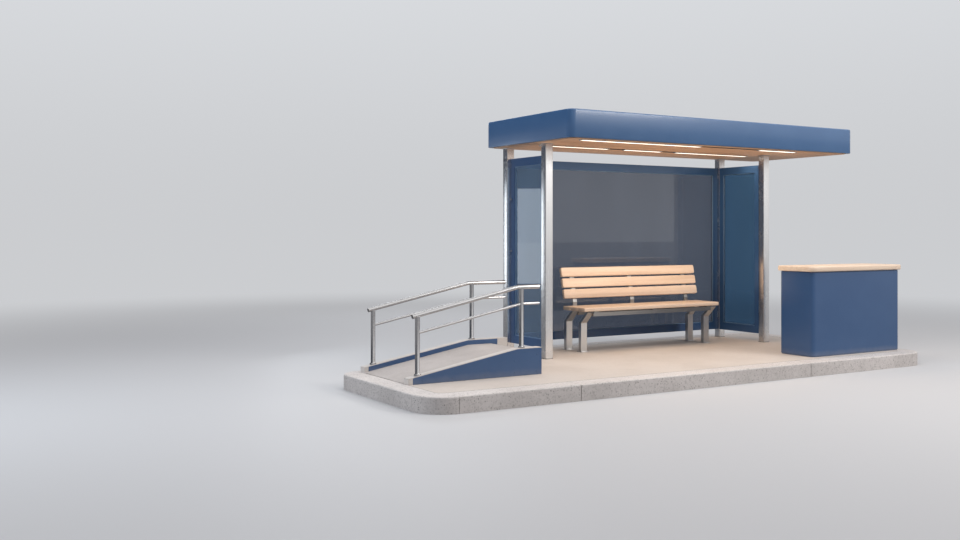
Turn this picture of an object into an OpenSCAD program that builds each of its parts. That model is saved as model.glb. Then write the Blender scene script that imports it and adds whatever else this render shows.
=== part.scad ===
// Bus shelter on a raised concrete island, with an access ramp, a bench and a service counter.
// Millimetres. X runs along the front to the right, Y to the back, Z up.
// The origin is at the bottom centre of the island.

/* [Island] */
// Length of the island along the front
pad_l = 6680; // [6200:10:8100]
// Depth of the island where the shelter stands
pad_d = 2880; // [2760:10:3400]
// Height of the island above the ground
pad_h = 150; // [100:5:250]
// Depth of the narrower left part that holds the ramp
ramp_pad_d = 1950; // [1860:10:2300]
// Distance from the left end to the step in the back edge
step_x = 1980; // [1900:10:2200]
// Width of the kerb stones
kerb_w = 220; // [120:5:270]
// Plan radius of the island's corners
corner_r = 300; // [280:5:400]
// Plan radius of the corner behind the ramp
ramp_corner_r = 240; // [230:5:400]
// Rounding of the kerb's top outer edge
nose_r = 14; // [4:1:30]
// Open joint between kerb stones
joint = 4; // [1:1:10]
// Front joint between the left and middle kerb stones, from the left end
joint_left_x = 1600; // [1200:10:2000]
// Front joint between the middle and right kerb stones, from the left end
joint_right_x = 4675; // [3500:10:5200]

/* [Posts] */
// Distance from the island's left end to the left posts
shelter_x = 2410; // [2300:10:2600]
// Distance from the island's front edge to the front posts
shelter_y = 1740; // [1720:10:1900]
// Width over the posts
bay_w = 3490; // [2900:10:4000]
// Depth over the posts
bay_d = 880; // [820:10:1040]
// Post size along the front
post_w = 100; // [80:2:120]
// Post size from front to back
post_d = 90; // [70:2:110]
// Clear height under the roof
headroom = 2400; // [2300:10:2800]

/* [Roof] */
// Height of the roof's edge band
roof_h = 300; // [220:5:400]
// Roof overhang in front of the posts
over_front = 700; // [400:10:900]
// Roof overhang behind the posts
over_back = 100; // [70:5:250]
// Roof overhang to the left of the posts
over_left = 175; // [130:5:400]
// Roof overhang to the right of the posts
over_right = 740; // [130:10:900]
// Plan radius of the roof's corners
roof_r = 115; // [90:5:200]
// Rounding of the roof's top edge
roof_edge_r = 32; // [10:1:60]
// Width of the edge band's folded wall
band_t = 50; // [30:2:80]
// Thickness of the roof deck
roof_deck_t = 40; // [20:1:60]
// Thickness of the wooden ceiling
ceiling_t = 30; // [20:1:40]
// How far the ceiling stands below the edge band
ceiling_drop = 8; // [0:1:15]
// Width of the roof beams
beam_w = 90; // [60:5:110]

/* [Lights] */
// Width of a light strip
strip_w = 55; // [30:5:80]
// Height of a light strip below the ceiling
strip_t = 10; // [6:1:20]
// Distance from the roof's front edge to the front row
strip_front_y = 95; // [85:5:300]
// Distance from the front posts' front faces to the back row
strip_back_y = 190; // [160:5:400]
// Starts of the front row's strips, from the left posts
front_strip_x = [60, 2700]; // [0:10:3300]
// Lengths of the front row's strips
front_strip_l = [1690, 610]; // [200:10:1700]
// Starts of the back row's strips, from the left posts
back_strip_x = [90, 1290, 2090]; // [0:10:3300]
// Lengths of the back row's strips
back_strip_l = [950, 560, 1200]; // [200:10:1700]

/* [Panels] */
// Gap between the floor and the panels
panel_low = 105; // [60:5:200]
// Gap between the panels and the ceiling
panel_high = 125; // [60:5:300]
// Thickness of the panel frames
frame_t = 40; // [30:1:44]
// Height of the frames' top and bottom rails
frame_rail = 95; // [60:5:130]
// Width of the frames' upright stiles
frame_stile = 70; // [50:5:100]
// Thickness of the glass
glass_t = 10; // [6:1:16]
// How far the back panel sits behind the back posts' front faces
back_set = 42; // [10:1:45]

/* [Ramp] */
// Distance from the island's left end to the foot of the ramp
ramp_x = 220; // [200:10:350]
// Distance from the island's front edge to the ramp
ramp_y = 790; // [600:10:850]
// Length of the ramp with its landing
ramp_l = 1480; // [1300:10:1600]
// Length of the level landing
landing_l = 280; // [200:10:450]
// Width over the ramp's kerbs
ramp_w = 1050; // [820:10:1060]
// Height of the landing's deck above the floor
ramp_rise = 215; // [120:5:260]
// Height of the deck's front edge at the foot
ramp_nib = 5; // [5:1:20]
// Height of the ramp's kerbs above the deck
upstand = 52; // [40:1:90]
// Width of the ramp's kerbs
upstand_w = 90; // [70:1:120]
// Thickness of the pale cap over the kerbs
cap_t = 18; // [10:1:30]
// Length of the pale block at the foot of each kerb
block_l = 45; // [30:1:80]
// How far the back kerb and its handrail run past the landing
back_run = 210; // [130:5:260]
// Length of the pale block at the end of that run
end_block_l = 125; // [40:5:130]
// Thickness of the painted side plates
plate_t = 6; // [3:0.5:10]

/* [Handrails] */
// Height of the top rail's centre above the kerbs at the landing
hand_h = 598; // [450:1:950]
// Height of the top rail's centre above the kerbs at the low posts
hand_low_h = 556; // [440:1:950]
// Distance between the centres of the top and middle rails
mid_drop = 164; // [120:1:300]
// Diameter of the top rails
rail_d = 42; // [30:1:50]
// Diameter of the handrail posts
stanchion_d = 46; // [30:1:50]
// Diameter of the middle rails
mid_d = 26; // [16:1:29]
// Distance from the foot of the ramp to the low posts
low_post_x = 115; // [70:5:250]
// Distance from the kerbs' bend to the rails' bend
rail_lag = 25; // [0:1:80]
// Straight length of the top rails between their bend and the high posts
bend_clear = 3; // [1:1:30]
// How far the top rails run past the low posts
rail_tail = 30; // [25:1:60]
// Radius of the rails' bend at the top of the ramp
rail_bend_r = 180; // [100:10:300]
// Diameter of the base collars
collar_d = 68; // [56:1:69]
// Height of the base collars
collar_h = 10; // [5:1:20]

/* [Bench] */
// Length of the bench
bench_l = 2120; // [1500:10:2400]
// Distance from the left posts' outer faces to the bench
bench_x = 690; // [250:10:750]
// Distance from the front posts' front faces to the seat
bench_y = 205; // [160:5:215]
// Depth of the seat
seat_d = 420; // [380:5:425]
// Height of the seat
seat_h = 525; // [420:5:560]
// Thickness of the seat planks
seat_t = 45; // [30:1:60]
// Gap between seat planks
seat_gap = 8; // [4:1:15]
// Height of a back slat
slat_h = 103; // [80:1:110]
// Thickness of a back slat
slat_t = 40; // [25:1:45]
// Gap between back slats
slat_gap = 29; // [15:1:40]
// Height of the lowest back slat above the seat
slat_low = 88; // [60:1:120]
// Lean of the back from the vertical, in degrees
lean = 12; // [0:1:13]
// Width of the flat bars that carry the slats
strap_w = 60; // [40:1:80]
// Thickness of the flat bars
strap_t = 12; // [8:1:16]
// Distance from the bench's ends to the outer flat bars' centres
strap_inset = 175; // [170:5:300]
// Height of the beams under the seat
seat_beam_h = 45; // [30:1:60]
// Width of the beams under the seat
seat_beam_w = 50; // [35:1:60]
// Size of the legs along the bench
leg_w = 85; // [50:1:90]
// Size of the legs from front to back
leg_d = 50; // [40:1:55]
// Distance from the bench's ends to the legs
leg_inset = 50; // [20:5:50]
// Distance from the seat's front edge to the front legs' feet
leg_front_y = 130; // [120:1:150]
// Distance between the front and back legs
leg_pitch = 290; // [250:5:300]
// How far the legs bend forward below the seat
leg_bend = 128; // [60:1:130]
// Rounding of the slats' ends
slat_end_r = 18; // [5:1:30]

/* [Counter] */
// Length of the counter's top
counter_l = 1570; // [1200:10:1650]
// Depth of the counter's top
counter_d = 550; // [350:10:600]
// Height of the counter's body
counter_h = 960; // [700:10:1100]
// Thickness of the counter's top
counter_top_t = 60; // [30:1:80]
// Overhang of the top around the body
counter_lip = 28; // [15:1:60]
// Distance from the island's right end to the counter
counter_x = 75; // [60:5:400]
// Distance from the island's front edge to the counter
counter_y = 285; // [100:10:500]
// Plan radius of the counter's corners
counter_r = 70; // [50:5:120]
// Rounding of the counter top's edges
counter_edge_r = 14; // [5:1:20]

/* [Hidden] */
$fn = 64;

concrete = "#c9c2b8";
paving = "#d3c8ba";
blue = "#2f4f7f";
steel = "#b9bcc0";
timber = "#dcb58c";
glazing = "#7f93ad80";
lamp = "#fff1dc";

x_left = -pad_l / 2;
x_right = pad_l / 2;
y_front = -pad_d / 2;
y_back = pad_d / 2;
x_step = x_left + step_x;          // outer face of the step in the back edge
y_ramp_back = y_front + ramp_pad_d;
inner_r = corner_r - kerb_w;       // radius of the paving's corners

px = x_left + shelter_x;           // left posts' outer face
py = y_front + shelter_y;          // front posts' front face
px2 = px + bay_w;
py2 = py + bay_d;
z_ceiling = pad_h + headroom - ceiling_drop;
z_beam = z_ceiling + ceiling_t;    // the posts reach the beams through the ceiling
z_band = pad_h + headroom;
z_roof = z_band + roof_h;
beam_h = z_roof - roof_deck_t - z_beam;
roof_x = px - over_left;
roof_y = py - over_front;
roof_l = bay_w + over_left + over_right;
roof_w = bay_d + over_front + over_back;
post_gap = 2;                      // clearance round the posts in the ceiling

panel_z = pad_h + panel_low;
panel_h = headroom - ceiling_drop - panel_low - panel_high;
side_l = bay_d - 2 * post_d;
back_l = bay_w - 2 * post_w;
rebate = 12;                       // depth of the glass in its frame

rx = x_left + ramp_x;
ry = y_front + ramp_y;
slope_l = ramp_l - landing_l;
x_bend = rx + slope_l;
x_end = rx + ramp_l;
x_back_end = x_end + back_run;
grade = (ramp_rise - ramp_nib) / slope_l;
top_low = pad_h + ramp_nib + upstand;     // kerb top at the foot
top_high = pad_h + ramp_rise + upstand;   // kerb top at the landing

bx = px + bench_x;
by = py + bench_y;
bench_mid = bx + bench_l / 2;
z_seat = pad_h + seat_h;
z_strap = z_seat - seat_t - strap_t;      // underside of the flat bars
z_leg = z_strap;
plank_w = (seat_d - 2 * seat_gap) / 3;
strap_pitch = bench_l / 2 - strap_inset;
lean_z = z_seat + slat_low / 2;           // height where the flat bars begin to lean
slat_pitch = slat_h + slat_gap;

cx = x_right - counter_x - counter_l;
cy = y_front + counter_y;

// ---- shared shapes ----

// Rectangle in plan with its four corners rounded to r
module plan(l, w, r) {
  translate([r, 0]) square([l - 2 * r, w]);
  translate([0, r]) square([l, w - 2 * r]);
  for (x = [r, l - r], y = [r, w - r]) translate([x, y]) circle(r);
}

// Section of an edge, from the inside out: width a, height h, top outer corner rounded to e
module edge_profile(a, h, e) {
  square([a, h - e]);
  square([a - e, h]);
  translate([a - e, h - e]) circle(e);
}

// Block with upright corners rounded to r and its top edge rounded to e
module soft_block(l, w, h, r, e) {
  corners = [[l - r, w - r], [r, w - r], [r, r], [l - r, r]];
  translate([r, r, 0]) cube([l - 2 * r, w - 2 * r, h]);
  for (k = [0:3]) translate(corners[k]) rotate([0, 0, 90 * k]) {
    rotate_extrude(angle = 90) edge_profile(r, h, e);
    rotate([90, 0, 0]) linear_extrude(k % 2 == 0 ? w - 2 * r : l - 2 * r) edge_profile(r, h, e);
  }
}

// Outline in X and Z, extruded from y to y + w
module xz(y, w, points) translate([0, y + w, 0]) rotate([90, 0, 0]) linear_extrude(w) polygon(points);

// Outline in Y and Z, extruded from x to x + w
module yz(x, w, points) translate([x, 0, 0]) rotate([90, 0, 90]) linear_extrude(w) polygon(points);

// Round bar between two points in the plane y
module bar(y, p, q, d) {
  run = q - p;
  translate([p[0], y, p[1]]) rotate([0, 90 - atan2(run[1], run[0]), 0]) cylinder(d = d, h = norm(run));
}

// ---- island ----

// Straight kerb stone. Its inner edge starts at (x, y), faces angle and runs len to the right of it.
module kerb_stone(x, y, angle, len) translate([x, y, 0]) rotate([0, 0, angle])
  rotate([90, 0, 0]) linear_extrude(len) edge_profile(kerb_w, pad_h, nose_r);

// Corner kerb stone about the point (x, y), a quarter turn from angle
module kerb_corner(x, y, angle, r = corner_r) translate([x, y, 0]) rotate([0, 0, angle])
  rotate_extrude(angle = 90) translate([r - kerb_w, 0]) edge_profile(kerb_w, pad_h, nose_r);

module floor_slab() color(paving) linear_extrude(pad_h) {
  translate([x_step + kerb_w, y_front + kerb_w])
    plan(x_right - x_step - 2 * kerb_w, pad_d - 2 * kerb_w, inner_r);
  translate([x_left + kerb_w, y_front + kerb_w])
    plan(step_x + 4 * inner_r, ramp_pad_d - 2 * kerb_w, inner_r);
  translate([x_left + kerb_w, y_front + ramp_pad_d / 2])
    plan(step_x, ramp_pad_d / 2 - kerb_w, ramp_corner_r - kerb_w);
}

module kerb_front() color(concrete) {
  ends = [x_left + corner_r, x_left + joint_left_x, x_left + joint_right_x, x_right - corner_r];
  for (i = [0:2])
    kerb_stone(ends[i + 1] - joint, y_front + kerb_w, -90, ends[i + 1] - ends[i] - 2 * joint);
}

module kerb_back() color(concrete) {
  ends = [x_step + corner_r, x_left + joint_right_x, x_right - corner_r];
  for (i = [0:1])
    kerb_stone(ends[i] + joint, y_back - kerb_w, 90, ends[i + 1] - ends[i] - 2 * joint);
  kerb_stone(x_left + ramp_corner_r + joint, y_ramp_back - kerb_w, 90, step_x + kerb_w - ramp_corner_r - joint);
}

module kerb_sides() color(concrete) {
  kerb_stone(x_left + kerb_w, y_front + corner_r + joint, 180,
    ramp_pad_d - corner_r - ramp_corner_r - 2 * joint);
  kerb_stone(x_right - kerb_w, y_back - corner_r - joint, 0, pad_d - 2 * corner_r - 2 * joint);
  kerb_stone(x_step + kerb_w, y_ramp_back + joint, 180, pad_d - ramp_pad_d - corner_r - 2 * joint);
}

module kerb_corners() color(concrete) {
  kerb_corner(x_left + corner_r, y_front + corner_r, 180);
  kerb_corner(x_right - corner_r, y_front + corner_r, 270);
  kerb_corner(x_right - corner_r, y_back - corner_r, 0);
  kerb_corner(x_step + corner_r, y_back - corner_r, 90);
  kerb_corner(x_left + ramp_corner_r, y_ramp_back - ramp_corner_r, 90, ramp_corner_r);
}

// ---- ramp ----

// Line from x0 up the ramp and along its landing to x1: z is its height at the foot
function ramp_line(x0, z, x1 = x_end) = [[x1, z + grade * slope_l], [x_bend, z + grade * slope_l],
  [x0, z + grade * (x0 - rx)]];

// Side outline from the floor up to that line
function ramp_side(x0, z, x1 = x_end) = concat([[x0, pad_h], [x1, pad_h]], ramp_line(x0, z, x1));

module ramp_deck() color(paving)
  xz(ry + upstand_w, ramp_w - 2 * upstand_w, ramp_side(rx, pad_h + ramp_nib));

// Kerb from the foot to x1, with its cap and the block at its foot
module ramp_kerb(y, x1) {
  cap_low = top_low - cap_t;
  cap_high = top_high - cap_t;
  xz(y + plate_t, upstand_w - 2 * plate_t, ramp_side(rx, cap_low, x1));
  xz(y, upstand_w, concat(ramp_line(rx, top_low, x1), [[rx, cap_low], [x_bend, cap_high], [x1, cap_high]]));
  xz(y, upstand_w, [[rx, pad_h], [rx + block_l, pad_h], [rx + block_l, top_low + grade * block_l],
    [rx, top_low]]);
}

ramp_back_y = ry + ramp_w - upstand_w;

module ramp_kerb_front() color(concrete) ramp_kerb(ry, x_end);

module ramp_kerb_back() color(concrete) {
  ramp_kerb(ramp_back_y, x_back_end);
  translate([x_back_end - end_block_l, ramp_back_y, pad_h]) cube([end_block_l, upstand_w, top_high - pad_h]);
}

module ramp_plate(y, x1) color(blue) xz(y, plate_t, ramp_side(rx + block_l, top_low - cap_t, x1));

module ramp_plates_outer() {
  ramp_plate(ry, x_end);
  ramp_plate(ry + ramp_w - plate_t, x_back_end - end_block_l);
}

module ramp_plates_inner() {
  ramp_plate(ry + upstand_w - plate_t, x_end);
  ramp_plate(ramp_back_y, x_back_end - end_block_l);
}

// ---- handrails ----

hand_front_y = ry + upstand_w / 2;
hand_back_y = ry + ramp_w - upstand_w / 2;
x_low_post = rx + low_post_x;
z_hand = top_high + hand_h;                                 // level run of the top rails
z_hand_low = top_low + grade * low_post_x + hand_low_h;     // top rails over the low posts
x_rail = x_bend + rail_lag;
rail_grade = (z_hand - z_hand_low) / (x_rail - x_low_post);
rail_pitch = atan(rail_grade);
tangent = rail_bend_r * tan(rail_pitch / 2);                // from the rails' bend to where it is straight
x_high_post = x_rail + tangent + bend_clear + stanchion_d / 2;

// Straight run of a top rail up the ramp from x0. It stops short of the bend by gap.
module sloped_run(y, x0, gap = 0) bar(y, [x0, z_hand - rail_grade * (x_rail - x0)],
  [x_rail, z_hand] - gap * [cos(rail_pitch), sin(rail_pitch)], rail_d);

// Straight run of a top rail along the landing from x0 to x1
module level_run(y, x0, x1) bar(y, [x0, z_hand], [x1, z_hand], rail_d);

module top_rail(y, x1) color(steel) {
  sloped_run(y, x_low_post - stanchion_d / 2 - rail_tail, tangent);
  level_run(y, x_rail + tangent, x1);
  translate([x_rail + tangent, y, z_hand - rail_bend_r]) rotate([90, 0, 0]) rotate([0, 0, 90])
    rotate_extrude(angle = rail_pitch) translate([rail_bend_r, 0]) circle(d = rail_d);
}

// The middle rail stops at the posts on both sides and bends at the high post
module middle_rail(y, x1) color(steel) {
  joint_at = [x_high_post, z_hand - mid_drop];
  difference() {
    bar(y, [x_low_post, z_hand_low - mid_drop], joint_at, mid_d);
    for (x = [x_low_post, x_high_post]) translate([x, y, pad_h]) cylinder(d = stanchion_d, h = z_hand);
  }
  difference() {
    bar(y, joint_at, [x1, joint_at[1]], mid_d);
    translate([x_high_post, y, pad_h]) cylinder(d = stanchion_d, h = z_hand);
  }
}

// Handrail post with its base collar, standing on the kerb at x. Its child is the rail it carries.
module stanchion(y, x) difference() {
  translate([x, y, min(top_low + grade * (x - rx), top_high) - collar_h]) {
    cylinder(d = stanchion_d, h = collar_h + (x < x_rail ? hand_low_h : hand_h));
    cylinder(d = collar_d, h = 2 * collar_h);
  }
  xz(y - collar_d, 2 * collar_d, ramp_side(rx, top_low, x_back_end));
  children();
}

module stanchions(y) color(steel) {
  stanchion(y, x_low_post) sloped_run(y, rx);
  stanchion(y, x_high_post) level_run(y, x_rail, x_end);
}

module handrail_front_top() top_rail(hand_front_y, x_end);
module handrail_front_middle() middle_rail(hand_front_y, x_end);
module handrail_front_posts() stanchions(hand_front_y);
module handrail_back_top() top_rail(hand_back_y, x_back_end);
module handrail_back_middle() middle_rail(hand_back_y, x_back_end);
module handrail_back_posts() stanchions(hand_back_y);

// ---- shelter frame and panels ----

module post(x, y) color(steel) translate([x, y, pad_h]) cube([post_w, post_d, z_beam - pad_h]);

module post_front_left() post(px, py);
module post_front_right() post(px2 - post_w, py);
module post_back_left() post(px, py2 - post_d);
module post_back_right() post(px2 - post_w, py2 - post_d);

// Panel frame along X with a groove for its glass
module frame(l) color(blue) difference() {
  cube([l, frame_t, panel_h]);
  translate([frame_stile, -1, frame_rail]) cube([l - 2 * frame_stile, frame_t + 2, panel_h - 2 * frame_rail]);
  glass(l);
}

module glass(l) color(glazing)
  translate([frame_stile - rebate, (frame_t - glass_t) / 2, frame_rail - rebate])
    cube([l - 2 * (frame_stile - rebate), glass_t, panel_h - 2 * (frame_rail - rebate)]);

module at_left() translate([px + post_w, py + post_d, panel_z]) rotate([0, 0, 90]) children();
module at_right() translate([px2 - post_w + frame_t, py + post_d, panel_z]) rotate([0, 0, 90]) children();
module at_back() translate([px + post_w, py2 - post_d + back_set, panel_z]) children();

module left_frame() at_left() frame(side_l);
module right_frame() at_right() frame(side_l);
module back_frame() at_back() frame(back_l);
module left_glass() at_left() glass(side_l);
module right_glass() at_right() glass(side_l);
module back_glass() at_back() glass(back_l);

// ---- roof ----

// Plan of the space inside the edge band
module roof_inside() translate([band_t, band_t])
  plan(roof_l - 2 * band_t, roof_w - 2 * band_t, roof_r - band_t);

module roof_shell() color(blue) translate([roof_x, roof_y, z_band]) difference() {
  soft_block(roof_l, roof_w, roof_h, roof_r, roof_edge_r);
  translate([0, 0, -1]) linear_extrude(roof_h - roof_deck_t + 1) roof_inside();
}

module roof_beams() color(steel) {
  inset = (post_d - beam_w) / 2;
  for (y = [py + inset, py2 - post_d + inset])
    translate([roof_x + roof_r, y, z_beam]) cube([roof_l - 2 * roof_r, beam_w, beam_h]);
  for (x = [px, (px + px2 - beam_w) / 2, px2 - beam_w])
    translate([x, roof_y + band_t + roof_r, z_beam]) cube([beam_w, py2 - inset - roof_y - band_t - roof_r, beam_h]);
}

module ceiling() color(timber) translate([0, 0, z_ceiling]) difference() {
  translate([roof_x, roof_y, 0]) linear_extrude(ceiling_t) roof_inside();
  for (x = [px, px2 - post_w], y = [py, py2 - post_d])
    translate([x - post_gap, y - post_gap, -1])
      cube([post_w + 2 * post_gap, post_d + 2 * post_gap, ceiling_t + 2]);
}

module strips(y, starts, lengths) color(lamp) for (i = [0:len(starts) - 1])
  translate([px + starts[i], y, z_ceiling - strip_t]) cube([lengths[i], strip_w, strip_t]);

module lights_front() strips(roof_y + strip_front_y, front_strip_x, front_strip_l);
module lights_back() strips(py + strip_back_y, back_strip_x, back_strip_l);

// ---- bench ----

module bench_seat() color(timber) for (k = [0:2])
  translate([bx, by + k * (plank_w + seat_gap), z_seat - seat_t])
    linear_extrude(seat_t) plan(bench_l, plank_w, seat_gap);

// Places its children in the leaning plane of the flat bars' front faces
module on_lean() translate([0, by + seat_d, lean_z]) rotate([-lean, 0, 0]) children();

module bench_back() color(timber) on_lean() for (k = [0:2])
  translate([bx, 0, slat_low / 2 + k * slat_pitch]) rotate([90, 0, 0])
    linear_extrude(slat_t) plan(bench_l, slat_h, slat_end_r);

// Side outline of a flat bar: under the seat, up behind it, then leaning back
strap_y = by + seat_d;
strap_l = slat_low / 2 + 2 * slat_pitch + slat_h * 0.8;
strap_top = [strap_y, lean_z] + strap_l * [sin(lean), cos(lean)];
strap_side = [[by, z_strap], [strap_y + strap_t, z_strap],
  [strap_y + strap_t, lean_z - strap_t * tan(lean / 2)], strap_top + strap_t * [cos(lean), -sin(lean)],
  strap_top, [strap_y, lean_z], [strap_y, z_strap + strap_t], [by, z_strap + strap_t]];

module bench_straps() color(steel) for (k = [-1:1])
  yz(bench_mid + k * strap_pitch - strap_w / 2, strap_w, strap_side);

leg_y = [by + leg_front_y, by + leg_front_y + leg_pitch];

module bench_beams() color(steel) for (y = leg_y)
  translate([bx + leg_inset + leg_w, y - leg_bend, z_leg - seat_beam_h])
    cube([bench_l - 2 * (leg_inset + leg_w), seat_beam_w, seat_beam_h]);

module bench_legs() color(steel) for (x = [bx + leg_inset, bx + bench_l - leg_inset - leg_w], y = leg_y)
  yz(x, leg_w, [[y, pad_h], [y + leg_d, pad_h], [y + leg_d, z_leg - leg_bend],
    [y + leg_d - leg_bend, z_leg], [y - leg_bend, z_leg], [y, z_leg - leg_bend]]);

// ---- counter ----

module counter_body() color(blue) translate([cx + counter_lip, cy + counter_lip, pad_h]) linear_extrude(counter_h)
  plan(counter_l - 2 * counter_lip, counter_d - 2 * counter_lip, counter_r - counter_lip / 2);

module counter_top() color(timber) translate([cx, cy, pad_h + counter_h])
  soft_block(counter_l, counter_d, counter_top_t, counter_r, counter_edge_r);

floor_slab();
kerb_front();
kerb_back();
kerb_sides();
kerb_corners();
ramp_deck();
ramp_kerb_front();
ramp_kerb_back();
ramp_plates_outer();
ramp_plates_inner();
handrail_front_top();
handrail_front_middle();
handrail_front_posts();
handrail_back_top();
handrail_back_middle();
handrail_back_posts();
post_front_left();
post_front_right();
post_back_left();
post_back_right();
left_frame();
right_frame();
back_frame();
left_glass();
right_glass();
back_glass();
roof_shell();
roof_beams();
ceiling();
lights_front();
lights_back();
bench_seat();
bench_back();
bench_straps();
bench_beams();
bench_legs();
counter_body();
counter_top();
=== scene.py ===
import math
import random

import bmesh
import bpy
from mathutils import Matrix, Vector


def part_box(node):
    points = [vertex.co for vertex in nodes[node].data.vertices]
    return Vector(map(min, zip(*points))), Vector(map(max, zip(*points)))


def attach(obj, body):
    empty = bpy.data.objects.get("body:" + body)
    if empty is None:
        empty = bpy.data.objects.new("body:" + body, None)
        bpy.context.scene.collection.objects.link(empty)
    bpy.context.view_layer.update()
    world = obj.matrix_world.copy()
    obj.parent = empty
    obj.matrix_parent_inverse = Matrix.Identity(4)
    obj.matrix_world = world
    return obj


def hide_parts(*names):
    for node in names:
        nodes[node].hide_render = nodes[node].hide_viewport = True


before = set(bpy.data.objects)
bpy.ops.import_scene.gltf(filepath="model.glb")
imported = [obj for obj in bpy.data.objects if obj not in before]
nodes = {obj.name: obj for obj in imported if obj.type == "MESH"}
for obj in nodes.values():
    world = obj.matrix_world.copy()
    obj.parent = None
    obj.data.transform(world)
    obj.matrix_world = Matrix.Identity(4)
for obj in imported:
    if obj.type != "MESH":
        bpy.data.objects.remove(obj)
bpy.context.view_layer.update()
scene = bpy.context.scene


# Metres. X runs along the front to the right, Y to the back, Z up.

view = dict(place=(-7.432, -9.046, 1.551), heading=0.544, lens=38.48, sensor=36, shiftY=-0.0389, reach=200)

camera = bpy.data.objects.new("Camera", bpy.data.cameras.new("Camera"))
camera.data.lens = view["lens"]
camera.data.sensor_width = view["sensor"]
camera.data.shift_y = view["shiftY"]
camera.data.clip_end = view["reach"]
camera.location = view["place"]
camera.rotation_euler = (math.pi / 2, 0, -view["heading"])
scene.collection.objects.link(camera)
scene.camera = camera
scene.view_settings.view_transform = "Standard"
scene.view_settings.look = "None"

studio = dict(
    floorSize=240, floorRoughness=0.6,
    floorColour=(0.56, 0.56, 0.57, 1), floorBounce=(0.24, 0.24, 0.25, 1),    # as seen, and for light that bounces
    fade=(4.5, 17.0),                                            # where the floor melts into the backdrop
    farGlow=(0.46, 0.46, 0.47, 1),                               # the far floor as the object reflects it
    backdrop=((0.60, 0.61, 0.63, 1), (0.72, 0.74, 0.77, 1)),     # at the horizon and overhead
    air=(0.42, 0.42, 0.44, 1),                                   # soft light from all round
    room=((0.045, 0.055, 0.08, 1), (1.15, 1.14, 1.13, 1)),       # dim and bright sides of the room, in reflections
    brightSide=(0.45, -0.62, 0.64), turn=(-0.20, 0.80),          # its direction, and where dim turns to bright
    streaks=dict(scale=1.3, detail=0.0, roughness=0.4), streakStretch=(1.6, 1.6, 0.2), streakDepth=1.1,
    skyline=0.35,                                                # height where the backdrop is brightest
    # name, place, target, size, power, colour, seen in reflections
    softboxes=[
        ("KeyLight", (4.6, -7.4, 5.6), (1.0, -0.4, 1.2), (3.6, 2.6), 390, (1.0, 0.97, 0.94), True),
        ("LeftLight", (-9.0, 0.5, 4.2), (-1.0, 0.2, 0.8), (2.4, 3.0), 200, (0.82, 0.91, 1.0), False),
        ("TopLight", (-0.5, -1.5, 9.0), (0.2, -0.2, 0.0), (8.0, 6.0), 400, (1.0, 0.98, 0.96), False),
        ("BackLight", (2.5, 9.0, 5.0), (0.5, 0.5, 1.2), (6.0, 2.5), 160, (0.92, 0.96, 1.0), True),
        ("GlassLight", (-2.74, 3.5, 1.5), (-0.85, 0.6, 1.5), (0.56, 1.4), 7.5, (0.85, 0.93, 1.0), True),
        ("CeilingFill", (0.8, 0.1, 0.8), (0.8, 0.1, 2.5), (3.0, 1.4), 16, (1.0, 0.82, 0.62), False),
    ],
)


def rayKinds(pen):  # reflections, and rays that look straight on or through glass
    ray = pen.add("ShaderNodeLightPath").outputs
    return ray["Is Glossy Ray"], pen.math("MAXIMUM", ray["Is Camera Ray"], ray["Is Transmission Ray"])


def makeRoom():  # plain pale backdrop and even air; the object reflects one bright and one dim side
    world = bpy.data.worlds.new("StudioAir")
    world.use_nodes = True
    pen = NodePen(world.node_tree)
    way = pen.add("ShaderNodeTexCoord").outputs["Generated"]
    height = pen.add("ShaderNodeSeparateXYZ", {0: way}).outputs[2]
    seen = pen.mix(pen.spread(height, 0.0, studio["skyline"]), *studio["backdrop"])
    toward = pen.add("ShaderNodeVectorMath", {0: way, 1: studio["brightSide"]},
                     operation="DOT_PRODUCT").outputs["Value"]
    streak = pen.noise(pen.stretch(way, studio["streakStretch"]), **studio["streaks"])
    bright = pen.plus(toward, pen.times(pen.less(streak, 0.5), studio["streakDepth"]))
    room = pen.mix(pen.spread(bright, *studio["turn"]), *studio["room"])
    glossy, direct = rayKinds(pen)
    lit = pen.mix(glossy, studio["air"], room)
    pen.feed(world.node_tree.nodes["Background"], {"Color": pen.mix(direct, lit, seen)})
    scene.world = world


def makeLights():
    for name, place, target, size, power, colour, mirrored in studio["softboxes"]:
        lamp = bpy.data.lights.new(name, "AREA")
        lamp.shape = "RECTANGLE"
        lamp.size, lamp.size_y = size
        lamp.energy, lamp.color = power, colour
        holder = bpy.data.objects.new(name, lamp)
        holder.location = place
        holder.rotation_euler = (Vector(target) - Vector(place)).to_track_quat("-Z", "Y").to_euler()
        holder.visible_camera = False
        holder.visible_transmission = False
        holder.visible_glossy = mirrored
        scene.collection.objects.link(holder)


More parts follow.
